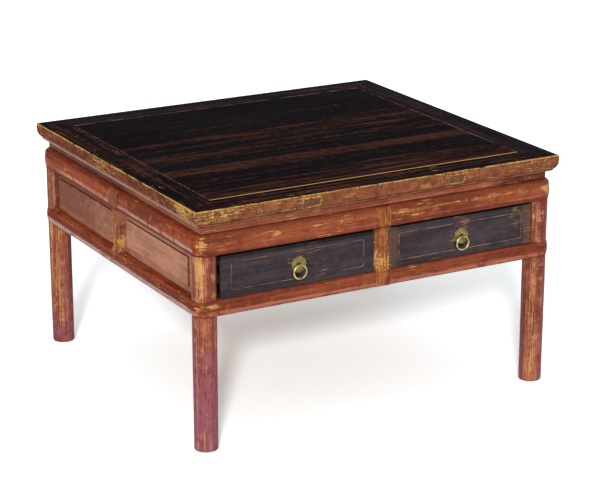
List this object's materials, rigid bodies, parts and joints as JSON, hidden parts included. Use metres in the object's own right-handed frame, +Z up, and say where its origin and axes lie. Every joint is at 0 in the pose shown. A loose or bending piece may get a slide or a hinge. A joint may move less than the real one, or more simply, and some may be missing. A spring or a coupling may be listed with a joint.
{
  "type": "kang table",
  "caption": "Low table with a framed panel top, a narrow waist, round legs wrapped by crowned rails, side-by-side drawers with ring pulls and recessed raised-field side panels.",
  "frame": {"origin": "on the floor under the middle of the table", "axes": "+X to the right along the length, +Y to the back, away from the drawers, +Z up"},
  "size_m": [0.76, 0.7, 0.45],
  "materials": {
    "top_lacquer": "worn dark lacquer",
    "board_lacquer": "worn dark lacquer",
    "waist_lacquer": "satin lacquer",
    "rail_lacquer": "worn gloss lacquer",
    "leg_lacquer": "worn gloss lacquer",
    "panel_lacquer": "satin lacquer",
    "drawer_lacquer": "dark lacquer with a painted line",
    "bare_wood": "bare aged wood",
    "brass": "aged brass"
  },
  "bodies": {
    "carcase": {"top_frame_front": "top_lacquer", "waist_front": "waist_lacquer", "upper_rail_front": "rail_lacquer", "lower_rail_front": "rail_lacquer", "strut_front": "rail_lacquer", "top_frame_back": "top_lacquer", "waist_back": "waist_lacquer", "upper_rail_back": "rail_lacquer", "lower_rail_back": "rail_lacquer", "strut_back": "rail_lacquer", "top_frame_left": "top_lacquer", "waist_left": "waist_lacquer", "upper_rail_left": "rail_lacquer", "lower_rail_left": "rail_lacquer", "strut_left": "rail_lacquer", "top_frame_right": "top_lacquer", "waist_right": "waist_lacquer", "upper_rail_right": "rail_lacquer", "lower_rail_right": "rail_lacquer", "strut_right": "rail_lacquer", "top_board_front": "board_lacquer", "top_board_middle": "board_lacquer", "top_board_back": "board_lacquer", "leg_front_left": "leg_lacquer", "leg_front_right": "leg_lacquer", "leg_back_right": "leg_lacquer", "leg_back_left": "leg_lacquer", "batten_left": "bare_wood", "batten_right": "bare_wood", "panel_left_front": "panel_lacquer", "panel_left_back": "panel_lacquer", "panel_right_front": "panel_lacquer", "panel_right_back": "panel_lacquer", "panel_back_left": "panel_lacquer", "panel_back_right": "panel_lacquer", "runner_left": "bare_wood", "guide_left": "bare_wood", "runner_middle": "bare_wood", "guide_middle": "bare_wood", "runner_right": "bare_wood", "guide_right": "bare_wood"},
    "drawer_left": {"drawer_left_front": "drawer_lacquer", "drawer_left_side_left": "bare_wood", "drawer_left_side_right": "bare_wood", "drawer_left_back": "bare_wood", "drawer_left_bottom": "bare_wood", "plate_left": "brass", "staple_left": "brass"},
    "drawer_right": {"drawer_right_front": "drawer_lacquer", "drawer_right_side_left": "bare_wood", "drawer_right_side_right": "bare_wood", "drawer_right_back": "bare_wood", "drawer_right_bottom": "bare_wood", "plate_right": "brass", "staple_right": "brass"},
    "ring_left": {"ring_left": "brass"},
    "ring_right": {"ring_right": "brass"}
  },
  "joints": [
    {"name": "drawer_left_slide", "type": "slide", "parent": "carcase", "child": "drawer_left", "axis": [0, -1, 0], "range_m": [0, 0.45]},
    {"name": "ring_left_hinge", "type": "hinge", "parent": "drawer_left", "child": "ring_left", "pos_m": [-0.1716, -0.3436, 0.3209], "axis": [-1, 0, 0], "range_deg": [-5, 170]},
    {"name": "drawer_right_slide", "type": "slide", "parent": "carcase", "child": "drawer_right", "axis": [0, -1, 0], "range_m": [0, 0.45]},
    {"name": "ring_right_hinge", "type": "hinge", "parent": "drawer_right", "child": "ring_right", "pos_m": [0.1716, -0.3436, 0.3209], "axis": [-1, 0, 0], "range_deg": [-5, 170]}
  ]
}
